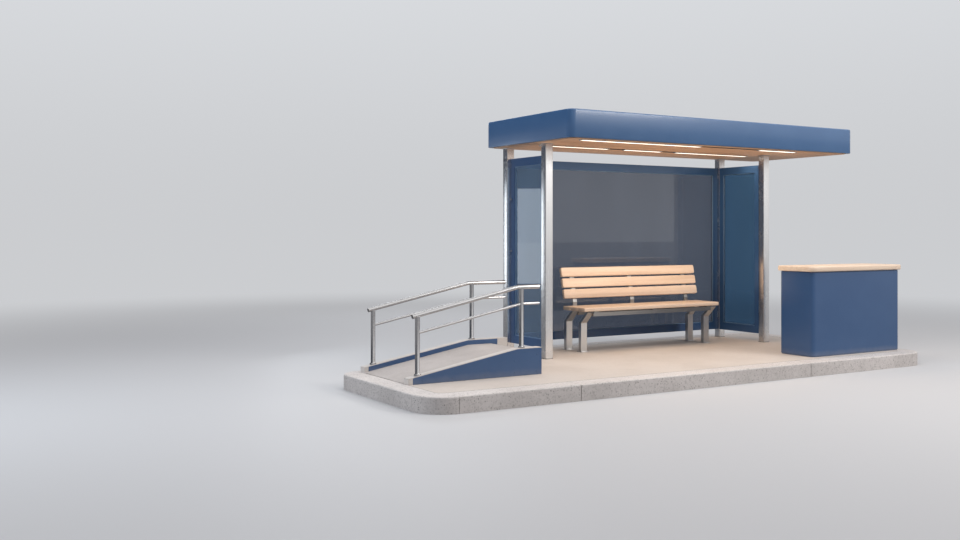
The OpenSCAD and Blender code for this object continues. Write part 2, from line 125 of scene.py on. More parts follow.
class NodePen:  # short calls for building one node tree
    def __init__(self, tree):
        self.tree = tree

    def feed(self, node, values):  # links sockets and sets plain values
        for key, value in values.items():
            if isinstance(value, bpy.types.NodeSocket):
                self.tree.links.new(value, node.inputs[key])
            else:
                node.inputs[key].default_value = value
        return node

    def add(self, kind, inputs=None, **settings):
        node = self.tree.nodes.new(kind)
        for key, value in settings.items():
            setattr(node, key, value)
        return self.feed(node, inputs or {})

    def get(self, kind, inputs=None, **settings):  # the new node's first output
        return self.add(kind, inputs, **settings).outputs[0]

    def math(self, operation, a, b=0.0, clamp=False):
        return self.get("ShaderNodeMath", {0: a, 1: b}, operation=operation, use_clamp=clamp)

    def times(self, a, b, clamp=False):
        return self.math("MULTIPLY", a, b, clamp)

    def plus(self, a, b, clamp=False):
        return self.math("ADD", a, b, clamp)

    def less(self, a, b, clamp=False):
        return self.math("SUBTRACT", a, b, clamp)

    def mix(self, factor, a, b, blend="MIX"):
        return self.add("ShaderNodeMix", {0: factor, 6: a, 7: b}, data_type="RGBA", blend_type=blend).outputs[2]

    def spread(self, value, low, high):  # 0 at low, 1 at high, eased between
        return self.get("ShaderNodeMapRange", {0: value, 1: low, 2: high}, interpolation_type="SMOOTHSTEP")

    def noise(self, vector, scale, detail=4.0, roughness=0.55):
        return self.get("ShaderNodeTexNoise", {"Vector": vector, "Scale": scale, "Detail": detail,
                                               "Roughness": roughness})

    def stretch(self, vector, scale):
        return self.get("ShaderNodeMapping", {"Vector": vector, "Scale": scale})


def shaderGroup(name, inputs, outputs):
    tree = bpy.data.node_groups.new(name, "ShaderNodeTree")
    for label, kind, value in inputs:
        socket = tree.interface.new_socket(label, in_out="INPUT", socket_type="NodeSocket" + kind)
        if value is not None:
            socket.default_value = value
    for label, kind in outputs:
        tree.interface.new_socket(label, in_out="OUTPUT", socket_type="NodeSocket" + kind)
    pen = NodePen(tree)
    return pen, pen.add("NodeGroupInput").outputs, pen.add("NodeGroupOutput")


tints = dict(sand=(0.90, 0.88, 0.84, 1), pit=(0.11, 0.10, 0.09, 1), pore=(0.26, 0.14, 0.07, 1),
             fleck=(0.5, 0.6, 0.8, 1), dust=(0.42, 0.39, 0.35, 1), metalDust=(0.36, 0.34, 0.31, 1),
             glow=(1.0, 0.93, 0.84, 1), diffuser=(0.9, 0.88, 0.84, 1))


def buildGroundDust():  # pale dust that settles just above the floor
    pen, given, out = shaderGroup(
        "GroundDust",
        [("Vector", "Vector", None), ("Floor", "Float", 0.15), ("Reach", "Float", 0.12), ("Amount", "Float", 0.5)],
        [("Mask", "Float")])
    height = pen.less(pen.add("ShaderNodeSeparateXYZ", {0: given["Vector"]}).outputs[2], given["Floor"])
    patch = pen.noise(given["Vector"], 9.0, 5.0)
    height = pen.plus(height, pen.times(pen.less(patch, 0.5), given["Reach"]))
    low = pen.less(1.0, pen.math("DIVIDE", height, given["Reach"], clamp=True), clamp=True)
    pen.feed(out, {"Mask": pen.times(low, given["Amount"], clamp=True)})
    return pen.tree


def buildCementGrain():  # fine sand, darker aggregate specks, small pits darkened with painted shade, and soft clouds
    pen, given, out = shaderGroup(
        "CementGrain",
        [("Vector", "Vector", None), ("Base", "Color", (0.5, 0.5, 0.5, 1)), ("Dark", "Color", (0.2, 0.2, 0.2, 1)),
         ("Specks", "Float", 0.5), ("Pits", "Float", 0.5), ("Clouds", "Float", 0.3)],
        [("Color", "Color"), ("Height", "Float"), ("Roughness", "Float")])
    at = given["Vector"]
    clouds = pen.spread(pen.noise(at, 1.7, 6.0, 0.6), 0.35, 0.68)
    sand = pen.noise(at, 260.0, 3.0, 0.7)
    blotch = pen.noise(at, 24.0, 5.0, 0.65)
    speck = pen.spread(pen.noise(at, 58.0, 4.0, 0.75), 0.50, 0.66)
    cells = pen.add("ShaderNodeTexVoronoi", {"Vector": at, "Scale": 46.0, "Randomness": 1.0}).outputs["Distance"]
    sparse = pen.spread(pen.noise(at, 23.0, 2.0), 0.48, 0.58)
    pit = pen.times(pen.spread(cells, 0.30, 0.14), sparse)
    tone = pen.mix(pen.times(clouds, given["Clouds"]), given["Base"], given["Dark"])
    tone = pen.mix(pen.times(pen.spread(blotch, 0.42, 0.72), 0.16), tone, given["Dark"])
    tone = pen.mix(pen.times(sand, 0.12), tone, tints["sand"])
    tone = pen.mix(pen.times(speck, given["Specks"]), tone, given["Dark"])
    # the pits are sunk by the height below and darkened here with painted shade
    tone = pen.mix(pen.times(pit, given["Pits"]), tone, tints["pit"])
    pen.feed(out, {"Color": tone})
    rough = pen.plus(pen.times(sand, 0.18), 0.66)
    pen.feed(out, {"Roughness": rough})
    height = pen.less(pen.times(sand, 0.35), pen.times(pit, given["Pits"]))
    pen.feed(out, {"Height": pen.plus(height, pen.times(blotch, 0.3))})
    return pen.tree


def buildWoodGrain():  # long fibres along X, each board shifted by its own amount
    pen, given, out = shaderGroup(
        "WoodGrain",
        [("Vector", "Vector", None), ("Board", "Float", 0.0), ("Pale", "Color", (0.8, 0.6, 0.4, 1)),
         ("Warm", "Color", (0.6, 0.4, 0.2, 1)), ("Pores", "Float", 0.4)],
        [("Color", "Color"), ("Height", "Float"), ("Roughness", "Float")])
    board = given["Board"]
    offset = pen.get("ShaderNodeCombineXYZ", {0: pen.times(board, 7.3),
                                              1: pen.times(board, 3.1), 2: board})
    at = pen.get("ShaderNodeVectorMath", {0: given["Vector"], 1: offset}, operation="ADD")
    sway = pen.noise(pen.stretch(at, (0.7, 2.0, 2.0)), 1.0, 3.0)
    bent = pen.get("ShaderNodeVectorMath", {0: at, 1: pen.get("ShaderNodeCombineXYZ", {
        1: pen.times(sway, 0.09), 2: pen.times(sway, 0.05)})},
        operation="ADD")
    rings = pen.noise(pen.stretch(bent, (0.55, 17.0, 17.0)), 1.0, 4.0, 0.5)
    fibre = pen.noise(pen.stretch(bent, (5.0, 240.0, 240.0)), 1.0, 3.0, 0.6)
    pores = pen.spread(pen.noise(pen.stretch(bent, (16.0, 420.0, 420.0)), 1.0, 1.0), 0.60, 0.72)
    tone = pen.mix(pen.spread(rings, 0.30, 0.70), given["Pale"], given["Warm"])
    tone = pen.mix(pen.times(fibre, 0.26), tone, given["Warm"])
    each = pen.add("ShaderNodeTexWhiteNoise", {"W": board}, noise_dimensions="1D").outputs["Value"]
    tone = pen.mix(pen.times(each, 0.35), tone, given["Warm"])
    tone = pen.mix(pen.times(pores, given["Pores"]), tone, tints["pore"])
    pen.feed(out, {"Color": tone})
    pen.feed(out, {"Height": pen.less(fibre, pen.times(pores, 0.5))})
    pen.feed(out, {"Roughness": pen.plus(pen.times(fibre, 0.16), 0.40)})
    return pen.tree


def buildBrushing():  # hairlines along one axis, set by the stretch, with faint smudges
    pen, given, out = shaderGroup(
        "Brushing",
        [("Vector", "Vector", None), ("Stretch", "Vector", (300, 300, 2)), ("Roughness", "Float", 0.3),
         ("Depth", "Float", 0.08)],
        [("Roughness", "Float"), ("Height", "Float"), ("Tone", "Float")])
    scaled = pen.get("ShaderNodeVectorMath", {0: given["Vector"], 1: given["Stretch"]}, operation="MULTIPLY")
    lines = pen.noise(scaled, 1.0, 4.0, 0.7)
    smudge = pen.spread(pen.noise(given["Vector"], 4.5, 5.0, 0.6), 0.38, 0.70)
    rough = pen.plus(given["Roughness"], pen.times(pen.less(lines, 0.5), given["Depth"]))
    rough = pen.plus(rough, pen.times(smudge, 0.025))
    pen.feed(out, {"Roughness": rough})
    pen.feed(out, {"Height": lines})
    pen.feed(out, {"Tone": pen.plus(0.95, pen.times(lines, 0.08))})
    return pen.tree


def buildPaintSkin():  # the slight orange peel of powder coat, with soft rubbed areas
    pen, given, out = shaderGroup(
        "PaintSkin",
        [("Vector", "Vector", None), ("Base", "Color", (0.1, 0.2, 0.4, 1)), ("Faded", "Color", (0.2, 0.3, 0.5, 1)),
         ("Dust", "Float", 0.0)],
        [("Color", "Color"), ("Height", "Float"), ("Roughness", "Float")])
    at = given["Vector"]
    peel = pen.noise(at, 420.0, 2.0, 0.5)
    rubbed = pen.spread(pen.noise(at, 2.6, 6.0, 0.62), 0.40, 0.72)
    flecks = pen.spread(pen.noise(at, 900.0, 1.0), 0.70, 0.80)
    tone = pen.mix(pen.times(rubbed, 0.28), given["Base"], given["Faded"])
    tone = pen.mix(pen.times(flecks, 0.06), tone, tints["fleck"])
    tone = pen.mix(given["Dust"], tone, tints["dust"])
    pen.feed(out, {"Color": tone})
    pen.feed(out, {"Height": peel})
    rough = pen.plus(0.34, pen.times(rubbed, 0.07))
    pen.feed(out, {"Roughness": pen.plus(rough, pen.times(given["Dust"], 0.4))})
    return pen.tree


makeRoom()
makeLights()
print("studio ready")

groundDust = buildGroundDust()
cementGrain = buildCementGrain()
woodGrain = buildWoodGrain()
brushing = buildBrushing()
paintSkin = buildPaintSkin()


def startMaterial(name, **sockets):
    material = bpy.data.materials.new(name)
    material.use_nodes = True
    shader = material.node_tree.nodes["Principled BSDF"]
    for key, value in sockets.items():
        shader.inputs[key].default_value = value
    pen = NodePen(material.node_tree)
    at = pen.add("ShaderNodeTexCoord").outputs["Object"]
    return material, pen, shader, at


def placeGroup(pen, tree, **values):
    return pen.add("ShaderNodeGroup", values, node_tree=tree).outputs


def relief(pen, shader, height, strength, distance, edge=0.0):
    bump = pen.add("ShaderNodeBump", {"Strength": strength, "Distance": distance, "Height": height})
    if edge:  # softens the square arrises of a plain solid
        pen.feed(bump, {"Normal": pen.get("ShaderNodeBevel", {"Radius": edge}, samples=4)})
    pen.feed(shader, {"Normal": bump.outputs[0]})


def dress(pen, shader, skin, strength, distance, edge=0.0):  # colour, roughness and relief from one group
    pen.feed(shader, {"Base Color": skin["Color"], "Roughness": skin["Roughness"]})
    relief(pen, shader, skin["Height"], strength, distance, edge)


def cementMaterial(name, base, dark, specks, pits, clouds, edge=0.004):
    material, pen, shader, at = startMaterial(name)
    grain = placeGroup(pen, cementGrain, Vector=at, Base=base, Dark=dark, Specks=specks, Pits=pits, Clouds=clouds)
    dress(pen, shader, grain, 0.45, 0.003, edge)
    return material


def woodMaterial(name, pale, warm, pores):
    material, pen, shader, at = startMaterial(name)
    board = pen.add("ShaderNodeAttribute", attribute_name="board").outputs["Fac"]
    grain = placeGroup(pen, woodGrain, Vector=at, Board=board, Pale=pale, Warm=warm, Pores=pores)
    dress(pen, shader, grain, 0.22, 0.0012)
    return material


def steelMaterial(name, tone, roughness, stretch, edge=0.0, dust=0.10, brushed=1.0):
    material, pen, shader, at = startMaterial(name, Metallic=1.0)
    lines = placeGroup(pen, brushing, Vector=at, Stretch=stretch, Roughness=roughness, Depth=0.08 * brushed)
    mask = placeGroup(pen, groundDust, Vector=at, Amount=dust)["Mask"]
    tint = pen.mix(1.0, tone, pen.get("ShaderNodeCombineColor", {0: lines["Tone"], 1: lines["Tone"],
                                                                2: lines["Tone"]}), "MULTIPLY")
    pen.feed(shader, {"Base Color": pen.mix(mask, tint, tints["metalDust"])})
    rough = pen.plus(lines["Roughness"], pen.times(mask, 0.35), clamp=True)
    pen.feed(shader, {"Roughness": rough})
    relief(pen, shader, lines["Height"], 0.05 * brushed, 0.0004, edge)
    return material


def paintMaterial(name, base, faded, edge=0.0, dust=0.16):
    material, pen, shader, at = startMaterial(name, **{"Coat Weight": 0.35, "Coat Roughness": 0.16,
                                                       "Specular IOR Level": 0.5})
    mask = placeGroup(pen, groundDust, Vector=at, Amount=dust, Reach=0.07)["Mask"]
    skin = placeGroup(pen, paintSkin, Vector=at, Base=base, Faded=faded, Dust=mask)
    dress(pen, shader, skin, 0.06, 0.0005, edge)
    return material


def plainMaterial(name, base, roughness, scale=40.0, depth=0.15, metallic=0.0):
    material, pen, shader, at = startMaterial(name, Metallic=metallic)
    mottle = pen.noise(at, scale, 4.0)
    darker = (base[0] * 0.72, base[1] * 0.72, base[2] * 0.72, 1)
    pen.feed(shader, {"Base Color": pen.mix(pen.times(mottle, 0.6), base, darker)})
    pen.feed(shader, {"Roughness": pen.plus(roughness, pen.times(mottle, 0.12))})
    relief(pen, shader, mottle, depth, 0.001)
    return material


def glassMaterial(name, tint):
    material, pen, shader, at = startMaterial(name, **{"Transmission Weight": 0.86, "IOR": 1.45, "Roughness": 0.0,
                                                       "Specular IOR Level": 0.7})
    film = pen.spread(pen.noise(pen.stretch(at, (1.0, 1.0, 0.35)), 2.2, 5.0, 0.6), 0.40, 0.75)
    paler = tuple(min(1.0, c * 1.12) for c in tint[:3]) + (1,)
    pen.feed(shader, {"Base Color": pen.mix(film, tint, paler)})
    return material


def lampMaterial(name, colour, strength):
    material, pen, shader, at = startMaterial(name, **{"Base Color": tints["diffuser"], "Roughness": 0.4,
                                                       "Emission Strength": strength})
    glow = pen.spread(pen.noise(at, 3.0, 2.0), 0.3, 0.7)
    pen.feed(shader, {"Emission Color": pen.mix(glow, colour, tints["glow"])})
    return material


finish = dict(
    kerb=cementMaterial("KerbConcrete", (0.66, 0.615, 0.595, 1), (0.30, 0.275, 0.26, 1), 0.55, 0.80, 0.25),
    paving=cementMaterial("PavingConcrete", (0.58, 0.52, 0.475, 1), (0.44, 0.38, 0.335, 1), 0.14, 0.14, 0.40),
    ramp=cementMaterial("RampConcrete", (0.47, 0.430, 0.412, 1), (0.32, 0.285, 0.27, 1), 0.26, 0.20, 0.55),
    rampKerb=cementMaterial("RampKerbConcrete", (0.62, 0.58, 0.55, 1), (0.42, 0.39, 0.37, 1), 0.20, 0.25, 0.25),
    blue=paintMaterial("BluePaint", (0.028, 0.080, 0.196, 1), (0.043, 0.104, 0.226, 1), edge=0.003),
    # the roof's blue is the same paint made lighter: painted light for the sheen its front catches from the key light
    roofBluePaintedLight=paintMaterial("RoofPaintPaintedLight", (0.044, 0.118, 0.262, 1), (0.066, 0.150, 0.305, 1)),
    steel=steelMaterial("BrushedSteel", (0.70, 0.695, 0.70, 1), 0.25, (420, 420, 3)),
    tube=steelMaterial("SatinTube", (0.52, 0.515, 0.52, 1), 0.20, (11, 11, 11), dust=0.15, brushed=0.1),
    benchSteel=steelMaterial("BenchSteel", (0.60, 0.585, 0.575, 1), 0.33, (300, 300, 5), edge=0.0025),
    # a darker copy of the bench steel for the straps and beams under the seat: painted shade
    underSeatSteelPaintedShade=steelMaterial("BenchSteelPaintedShade", (0.30, 0.29, 0.28, 1), 0.38, (300, 300, 5), edge=0.0025),
    beam=steelMaterial("GalvanisedSteel", (0.50, 0.51, 0.52, 1), 0.42, (30, 30, 30)),
    bolt=steelMaterial("BoltSteel", (0.60, 0.60, 0.61, 1), 0.25, (200, 200, 200)),
    # The panes are one tinted glass; the three tints paint the light each pane shows: the pale left tint is a painted
    # bright reflection, the darker right and back tints are painted shade.
    leftGlass=glassMaterial("LeftGlass", (0.34, 0.48, 0.64, 1)),
    rightGlass=glassMaterial("RightGlass", (0.060, 0.135, 0.240, 1)),
    backGlass=glassMaterial("BackGlass", (0.120, 0.144, 0.192, 1)),
    beech=woodMaterial("BenchBeech", (0.78, 0.625, 0.50, 1), (0.62, 0.455, 0.335, 1), 0.22),
    counterWood=woodMaterial("CounterBeech", (0.86, 0.71, 0.575, 1), (0.73, 0.565, 0.43, 1), 0.18),
    ceilingWood=woodMaterial("CeilingBoards", (0.86, 0.56, 0.36, 1), (0.62, 0.36, 0.21, 1), 0.24),
    lamp=lampMaterial("LampDiffuser", (1.0, 0.80, 0.60, 1), 2.6),
    rubber=plainMaterial("DarkRubber", (0.030, 0.032, 0.036, 1), 0.55),
    bead=plainMaterial("GlazingBead", (0.17, 0.27, 0.42, 1), 0.30, metallic=0.2),
    mortar=plainMaterial("JointMortar", (0.28, 0.25, 0.22, 1), 0.85, 120.0, 0.5),
    membrane=plainMaterial("RoofMembrane", (0.30, 0.32, 0.35, 1), 0.62, 30.0, 0.3),
)
print("materials ready")


def makeFloor():
    half = studio["floorSize"] / 2
    mesh = bpy.data.meshes.new("StudioFloor")
    mesh.from_pydata([(-half, -half, 0), (half, -half, 0), (half, half, 0), (-half, half, 0)], [], [(0, 1, 2, 3)])
    floor = bpy.data.objects.new("StudioFloor", mesh)
    scene.collection.objects.link(floor)
    material, pen, shader, at = startMaterial("StudioFloor", Roughness=studio["floorRoughness"])
    direct = rayKinds(pen)[1]
    pen.feed(shader, {"Base Color": pen.mix(direct, studio["floorBounce"], studio["floorColour"])})
    away = pen.add("ShaderNodeVectorMath", {0: at}, operation="LENGTH").outputs["Value"]
    glow = pen.mix(direct, studio["farGlow"], studio["backdrop"][0])
    far = pen.get("ShaderNodeEmission", {"Color": glow})
    faded = pen.get("ShaderNodeMixShader", {0: pen.spread(away, *studio["fade"]), 1: shader.outputs[0], 2: far})
    pen.feed(pen.tree.nodes["Material Output"], {"Surface": faded})
    mesh.materials.append(material)


makeFloor()


snug, hair = 1e-4, 1e-5      # distances that count as the same height, and as the same line
sharpAngle = math.radians(38)


def settle(name, mesh, material, stands=(), tags=None):
    mesh.validate()
    mesh.shade_smooth()
    mesh.set_sharp_from_angle(angle=sharpAngle)
    mesh.materials.clear()
    mesh.materials.append(material)
    if tags:
        mesh.attributes.new("board", "FLOAT", "POINT").data.foreach_set("value", tags)
    piece = bpy.data.objects.new(name, mesh)
    scene.collection.objects.link(piece)
    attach(piece, "root")
    if stands:
        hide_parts(*stands)
    return piece


def roundedRect(x0, y0, x1, y1, radius, steps=4):
    radius = max(0.0004, min(radius, (x1 - x0) / 2 - hair, (y1 - y0) / 2 - hair))  # never quite square
    corners = [(x1 - radius, y0 + radius, -90), (x1 - radius, y1 - radius, 0),
               (x0 + radius, y1 - radius, 90), (x0 + radius, y0 + radius, 180)]
    points = []
    for cx, cy, start in corners:
        for k in range(steps + 1):
            a = math.radians(start + 90 * k / steps)
            points.append((cx + radius * math.cos(a), cy + radius * math.sin(a)))
    return points


def quarterTurn(steps):
    return [math.radians(90 * k / steps) for k in range(steps + 1)]


class Shape:  # gathers closed solids into one mesh
    def __init__(self):
        self.verts, self.faces, self.tags = [], [], []

    def loft(self, rings, tag=0.0):
        start, n = len(self.verts), len(rings[0])
        for ring in rings:
            self.verts += ring
        self.tags += [tag] * (n * len(rings))
        for k in range(len(rings) - 1):
            a, b = start + k * n, start + (k + 1) * n
            self.faces += [(a + i, a + (i + 1) % n, b + (i + 1) % n, b + i) for i in range(n)]
        self.faces.append(tuple(start + i for i in reversed(range(n))))
        self.faces.append(tuple(start + (len(rings) - 1) * n + i for i in range(n)))

    # stack of rounded rectangles: each row is an inset from lo and hi and a height; an optional matrix lays it
    def layers(self, lo, hi, corner, rows, tag=0.0, place=None, steps=4):
        rings = []
        for d, z in rows:
            flat = roundedRect(lo[0] + d, lo[1] + d, hi[0] - d, hi[1] - d, corner - d, steps)
            ring = [Vector((x, y, z)) for x, y in flat]
            rings.append([place @ v for v in ring] if place else ring)
        self.loft(rings, tag)

    # block with rounded plan corners and rounded top and bottom edges
    def slab(self, lo, hi, corner, edge, tag=0.0, place=None, steps=4, foot=True):
        bend = [(edge * (1 - math.sin(a)), edge * (1 - math.cos(a))) for a in quarterTurn(3)]
        rows = [(d, lo[2] + rise) for d, rise in bend] if foot and edge else [(0, lo[2])]
        rows += [(d, hi[2] - drop) for drop, d in bend] if edge else [(0, hi[2])]
        self.layers(lo, hi, corner, rows, tag, place, steps)

    # solid of revolution about a point: outline is a list of (radius, height), from the bottom up
    def turned(self, centre, outline, sides=32):
        rings = []
        for radius, height in outline:
            row = []
            for k in range(sides):
                a = 2 * math.pi * k / sides
                x, y = radius * math.cos(a), radius * math.sin(a)
                row.append(Vector((centre[0] + x, centre[1] + y, centre[2] + height)))
            rings.append(row)
        self.loft(rings)

    def piece(self, name, material, slot, stands=()):
        mesh = bpy.data.meshes.new(name)
        mesh.from_pydata([tuple(v) for v in self.verts], [], self.faces)
        return settle(name, mesh, material, stands, self.tags)


def mergedCopy(name):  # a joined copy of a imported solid, for reading its shape
    bm = bmesh.new()
    bm.from_mesh(nodes[name].data)
    bmesh.ops.remove_doubles(bm, verts=bm.verts, dist=2 * hair)
    return bm


def solidsOf(name, axis=0):  # boxes of a node's separate solids, in order along an axis
    bm = mergedCopy(name)
    left, boxes = set(bm.verts), []
    while left:
        stack, found = [left.pop()], []
        while stack:
            v = stack.pop()
            found.append(v.co.copy())
            for e in v.link_edges:
                w = e.other_vert(v)
                if w in left:
                    left.discard(w)
                    stack.append(w)
        boxes.append(tuple(Vector(pick(p[i] for p in found) for i in range(3)) for pick in (min, max)))
    bm.free()
    return sorted(boxes, key=lambda b: (b[0][axis], *b[0]))


def wear(material, *names):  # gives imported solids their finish
    for name in names:
        data = nodes[name].data
        if not data.materials:
            data.materials.append(material)
        for slot in nodes[name].material_slots:
            slot.material = material


def geometryTree(name, inputs):
    tree = bpy.data.node_groups.new(name, "GeometryNodeTree")
    tree.interface.new_socket("Geometry", in_out="INPUT", socket_type="NodeSocketGeometry")
    for label, kind, value in inputs:
        tree.interface.new_socket(label, in_out="INPUT", socket_type="NodeSocket" + kind).default_value = value
    tree.interface.new_socket("Geometry", in_out="OUTPUT", socket_type="NodeSocketGeometry")
    pen = NodePen(tree)
    return pen, pen.add("NodeGroupInput").outputs


def closeTree(pen, geometry, material):
    real = pen.get("GeometryNodeRealizeInstances", {0: geometry})
    painted = pen.get("GeometryNodeSetMaterial", {"Geometry": real, "Material": material})
    pen.add("NodeGroupOutput", {0: painted})
    return pen.tree


def buildTubeTree():  # round tube along a path of edges, its corners filleted
    pen, given = geometryTree("TubeAlongPath", [
        ("Radius", "Float", 0.02), ("Bend", "Float", 0.1), ("Sides", "Int", 32)])
    path = pen.get("GeometryNodeMeshToCurve", {0: given["Geometry"]})
    bent = pen.get("GeometryNodeFilletCurve", {"Curve": path, "Count": 10, "Radius": given["Bend"],
                                               "Limit Radius": True}, mode="POLY")
    ring = pen.add("GeometryNodeCurvePrimitiveCircle", {"Resolution": given["Sides"], "Radius": given["Radius"]})
    tube = pen.get("GeometryNodeCurveToMesh", {"Curve": bent, "Profile Curve": ring.outputs[0],
                                               "Fill Caps": True})
    return closeTree(pen, tube, finish["tube"])


def buildBoltTree():  # washer and hexagon head on each point, turned to the point's facing
    pen, given = geometryTree("BoltHeads", [("Radius", "Float", 0.01), ("Height", "Float", 0.008)])
    facing = pen.get("GeometryNodeInputNamedAttribute", {"Name": "facing"}, data_type="FLOAT_VECTOR")
    turn = pen.get("FunctionNodeAlignRotationToVector", {"Vector": facing}, axis="Z")
    washer = pen.get("GeometryNodeMeshCylinder", {"Vertices": 18, "Depth": 0.0024,
                                                  "Radius": pen.times(given["Radius"], 1.45)})
    head = pen.get("GeometryNodeMeshCylinder", {"Vertices": 6, "Depth": given["Height"],
                                                "Radius": given["Radius"]})
    lift = pen.get("ShaderNodeCombineXYZ", {2: pen.times(given["Height"], 0.5)})
    head = pen.get("GeometryNodeTransform", {0: head, "Translation": lift})
    both = pen.add("GeometryNodeJoinGeometry")
    for part in (head, washer):
        pen.feed(both, {0: part})
    placed = pen.get("GeometryNodeInstanceOnPoints", {"Points": given["Geometry"], "Instance": both.outputs[0],
                                                      "Rotation": turn})
    return closeTree(pen, placed, finish["bolt"])


def buildRibTree():  # equal bars in a row
    pen, given = geometryTree("RowOfBars", [
        ("Count", "Int", 4), ("Step", "Vector", (0.1, 0, 0)), ("Size", "Vector", (0.01, 0.1, 0.01))])
    row = pen.get("GeometryNodeMeshLine", {"Count": given["Count"], "Offset": given["Step"]}, mode="OFFSET")
    start = pen.get("GeometryNodeInputPosition")
    home = pen.get("GeometryNodeSampleIndex", {"Geometry": given["Geometry"], "Value": start, "Index": 0},
                   data_type="FLOAT_VECTOR")
    row = pen.get("GeometryNodeSetPosition", {"Geometry": row, "Offset": home})
    bar = pen.get("GeometryNodeMeshCube", {"Size": given["Size"]})
    placed = pen.get("GeometryNodeInstanceOnPoints", {"Points": row, "Instance": bar})
    return closeTree(pen, placed, finish["beam"])


def grow(name, tree, points, edges, values, material, stands=(), facing=None):
    seed = bpy.data.meshes.new(name + "Seed")
    seed.from_pydata([tuple(p) for p in points], edges, [])
    if facing:
        seed.attributes.new("facing", "FLOAT_VECTOR", "POINT").data.foreach_set(
            "vector", [c for f in facing for c in f])
    holder = bpy.data.objects.new(name + "Seed", seed)
    scene.collection.objects.link(holder)
    modifier = holder.modifiers.new("Grow", "NODES")
    modifier.node_group = tree
    for item in tree.interface.items_tree:
        if item.item_type == "SOCKET" and item.in_out == "INPUT" and item.name in values:
            modifier[item.identifier] = values[item.name]
    scene.view_layers[0].update()
    mesh = bpy.data.meshes.new_from_object(holder.evaluated_get(bpy.context.evaluated_depsgraph_get()))
    holder.modifiers.remove(modifier)
    bpy.data.objects.remove(holder)
    mesh.name = name
    return settle(name, mesh, material, stands)


tubeTree, boltTree, ribTree = buildTubeTree(), buildBoltTree(), buildRibTree()


def bolts(name, spots, radius=0.009, height=0.007, material=None, slot="steel"):
    points, facing = zip(*spots)
    return grow(name, boltTree, points, [], dict(Radius=radius, Height=height), material or finish["bolt"],
                facing=facing)


island = dict(borderRadius=0.0035, borderDrop=0.0022, mortarDepth=0.004,
              joint=(0.001, 0.012), bite=0.001,      # widths that count as a joint, and how far mortar enters a stone
              beside=0.25)                           # stones in one row line up to within this


def makeIsland():
    wear(finish["kerb"], "kerb_front", "kerb_back", "kerb_sides", "kerb_corners")
    wear(finish["paving"], "floor_slab")
    bm = mergedCopy("floor_slab")
    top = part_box("floor_slab")[1].z
    upper = {f for f in bm.faces if f.normal.z > 0.9 and f.calc_center_median().z > top - snug}
    rim = [e for e in bm.edges if sum(f in upper for f in e.link_faces) == 1]
    order = {v: i for i, v in enumerate(dict.fromkeys(v for e in rim for v in e.verts))}
    points = [v.co - Vector((0, 0, island["borderDrop"])) for v in order]
    edges = [tuple(order[v] for v in e.verts) for e in rim]
    bm.free()
    grow("paving_border", tubeTree, points, edges, dict(Radius=island["borderRadius"], Bend=0.0, Sides=8),
         finish["mortar"])

    mortar, inset, bite = Shape(), island["mortarDepth"], island["bite"]
    narrow, wide = island["joint"]
    corners = solidsOf("kerb_corners")
    for name, axis in (("kerb_front", 0), ("kerb_back", 0), ("kerb_sides", 1)):
        stones = solidsOf(name, axis)
        for a in stones:
            for b in stones + corners:
                gap = b[0][axis] - a[1][axis]
                beside = all(abs(p[1 - axis] - q[1 - axis]) < island["beside"] for p, q in zip(a, b))
                if not (narrow < gap < wide and beside):
                    continue
                lo, hi = a[0].copy(), a[1].copy()
                lo[axis], hi[axis] = a[1][axis] - bite, b[0][axis] + bite
                lo[1 - axis] += inset
                hi[1 - axis] -= inset
                mortar.slab(lo, hi - Vector((0, 0, inset)), 0.0, 0.0)
    mortar.piece("kerb_mortar", finish["mortar"], "concrete")


makeIsland()
print("island done")


rail = dict(bendX=-1.895, lowPostX=-3.005, highPostX=-1.8504, lowZ=0.783125, levelZ=1.015, drop=0.164, tail=0.053,
            bend=0.18, midBend=0.03, topRadius=0.021, midRadius=0.013, postRadius=0.023, endTrim=0.001,
            midInset=0.015, topSides=40, midSides=28, postSides=36, slopeEnd=-2.5, foot=0.002, crown=0.55, neck=0.012,
            collar=(0.034, 0.010), collarEdge=0.003, collarLift=0.175,
            weld=((0.004, 0.0), (0.001, 0.003), (0.0, 0.007)),      # out from the post and up from its collar
            # share of the tube's radius and height, from inside the tube to its flat face
            cap=((0.90, -0.006), (0.90, -0.0025), (1.0, -0.002), (1.0, -0.001), (0.93, 0.0), (0.5, 0.0)))

ramp = dict(skin=0.0012, capShown=0.006, foot=0.002, deckLip=0.005, screwsAlong=(0.10, 0.42, 0.78, 1.12, 1.38),
            screwsUp=(0.09, 0.15, 0.20), lowScrew=0.035, screw=(0.0055, 0.0028))


def rampBendX():  # where the slope meets the level landing
    bm = mergedCopy("ramp_deck")
    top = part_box("ramp_deck")[1].z
    x = min(v.co.x for v in bm.verts if v.co.z > top - snug)
    bm.free()
    return x


def lowEndTop(side):  # height of a kerb's top at its low end
    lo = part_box("ramp_kerb_" + side)[0]
    return max(v.co.z for v in nodes["ramp_kerb_" + side].data.vertices if v.co.x < lo.x + snug)


